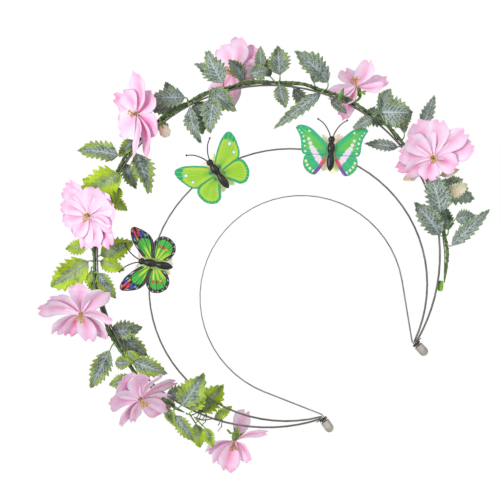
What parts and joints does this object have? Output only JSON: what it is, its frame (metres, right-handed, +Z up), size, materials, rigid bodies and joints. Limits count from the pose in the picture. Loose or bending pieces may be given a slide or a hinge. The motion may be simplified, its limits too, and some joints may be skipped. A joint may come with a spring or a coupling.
{
  "type": "flower crown",
  "caption": "Halo flower crown headband: three nested steel bands in capped tips, a leafy garland with silk flowers, and film butterflies whose wings fold on their creases.",
  "frame": {"origin": "on the underside of the inner band's top, where it rests on the head, in the middle of the strip", "axes": "+Z up out of the wearer's head, -Y the way the wearer looks, and the side on which the flowers and butterflies face, +X to the right of someone who looks along +Y at the crown's front"},
  "size_m": [0.2892, 0.0641, 0.2564],
  "materials": {
    "band_steel": "bright spring steel, thin, edge polished",
    "halo_steel": "darker spring steel with a brownish tone",
    "end_cap": "pearl grey moulded caps, satin",
    "binding": "dark brown lacquered iron wire",
    "vine": "dark green and brown wrapped stem",
    "sleeve": "bright green cut sheath",
    "petal": "thin dyed silk, pale pink to lilac with darker pink throat",
    "flower_stem": "green calyx and stem, yellow stamens",
    "leaf": "green moulded soft plastic leaf, dry-brushed grey-blue on its raised veins, lime at the edges",
    "bud": "cream silk bud in a green calyx",
    "wing_film_1": "printed film, lime with an emerald border",
    "wing_film_2": "printed film, emerald with pale bands",
    "wing_film_3": "printed film, green cells in a black border",
    "insect": "matt black moulding",
    "backing": "cream and peach silk snippets"
  },
  "bodies": {
    "crown": {"binding_wire_1": "binding", "binding_wire_2": "binding", "binding_wire_3": "binding", "bud_1": "bud", "bud_2": "bud", "butterfly_1_backing": "backing", "butterfly_1_body": "insect", "butterfly_2_backing": "backing", "butterfly_2_body": "insect", "butterfly_3_backing": "backing", "butterfly_3_body": "insect", "flower_1_petals": "petal", "flower_1_stem": "flower_stem", "flower_2_petals": "petal", "flower_2_stem": "flower_stem", "flower_3_petals": "petal", "flower_3_stem": "flower_stem", "flower_4_petals": "petal", "flower_4_stem": "flower_stem", "flower_5_petals": "petal", "flower_5_stem": "flower_stem", "flower_6_petals": "petal", "flower_6_stem": "flower_stem", "flower_7_petals": "petal", "flower_7_stem": "flower_stem", "flower_8_petals": "petal", "flower_8_stem": "flower_stem", "inner_band": "band_steel", "leaf_sprig_1": "leaf", "leaf_sprig_10": "leaf", "leaf_sprig_11": "leaf", "leaf_sprig_12": "leaf", "leaf_sprig_13": "leaf", "leaf_sprig_14": "leaf", "leaf_sprig_15": "leaf", "leaf_sprig_16": "leaf", "leaf_sprig_17": "leaf", "leaf_sprig_2": "leaf", "leaf_sprig_3": "leaf", "leaf_sprig_4": "leaf", "leaf_sprig_5": "leaf", "leaf_sprig_6": "leaf", "leaf_sprig_7": "leaf", "leaf_sprig_8": "leaf", "leaf_sprig_9": "leaf", "middle_ring": "halo_steel", "outer_ring": "halo_steel", "pod": "bud", "stem_end_sleeve": "sleeve", "tip_binding_left": "binding", "tip_binding_right": "binding", "tip_cap_left": "end_cap", "tip_cap_right": "end_cap", "vine_stem": "vine"},
    "butterfly_1_wing_right": {"butterfly_1_wing_right": "wing_film_1"},
    "butterfly_1_wing_left": {"butterfly_1_wing_left": "wing_film_1"},
    "butterfly_2_wing_right": {"butterfly_2_wing_right": "wing_film_2"},
    "butterfly_2_wing_left": {"butterfly_2_wing_left": "wing_film_2"},
    "butterfly_3_wing_right": {"butterfly_3_wing_right": "wing_film_3"},
    "butterfly_3_wing_left": {"butterfly_3_wing_left": "wing_film_3"}
  },
  "joints": [
    {"name": "butterfly_1_wing_right_crease", "type": "hinge", "parent": "crown", "child": "butterfly_1_wing_right", "pos_m": [0.01072, -0.00474, 0.02986], "axis": [-0.0436, 0, -0.999], "range_deg": [0, 70], "stiffness_Nm_per_rad": 0.0004},
    {"name": "butterfly_1_wing_left_crease", "type": "hinge", "parent": "crown", "child": "butterfly_1_wing_left", "pos_m": [0.00532, -0.00474, 0.0301], "axis": [0.0436, 0, 0.999], "range_deg": [0, 70], "stiffness_Nm_per_rad": 0.0004},
    {"name": "butterfly_2_wing_right_crease", "type": "hinge", "parent": "crown", "child": "butterfly_2_wing_right", "pos_m": [0.07396, -0.00474, -0.00677], "axis": [-0.6691, 0, -0.7431], "range_deg": [0, 70], "stiffness_Nm_per_rad": 0.0004},
    {"name": "butterfly_2_wing_left_crease", "type": "hinge", "parent": "crown", "child": "butterfly_2_wing_left", "pos_m": [0.06994, -0.00474, -0.00316], "axis": [0.6691, 0, 0.7431], "range_deg": [0, 70], "stiffness_Nm_per_rad": 0.0004},
    {"name": "butterfly_3_wing_right_crease", "type": "hinge", "parent": "crown", "child": "butterfly_3_wing_right", "pos_m": [-0.05698, -0.00474, 0.01223], "axis": [0.6428, 0, -0.766], "range_deg": [0, 70], "stiffness_Nm_per_rad": 0.0004},
    {"name": "butterfly_3_wing_left_crease", "type": "hinge", "parent": "crown", "child": "butterfly_3_wing_left", "pos_m": [-0.06111, -0.00474, 0.00876], "axis": [-0.6428, 0, 0.766], "range_deg": [0, 70], "stiffness_Nm_per_rad": 0.0004}
  ]
}
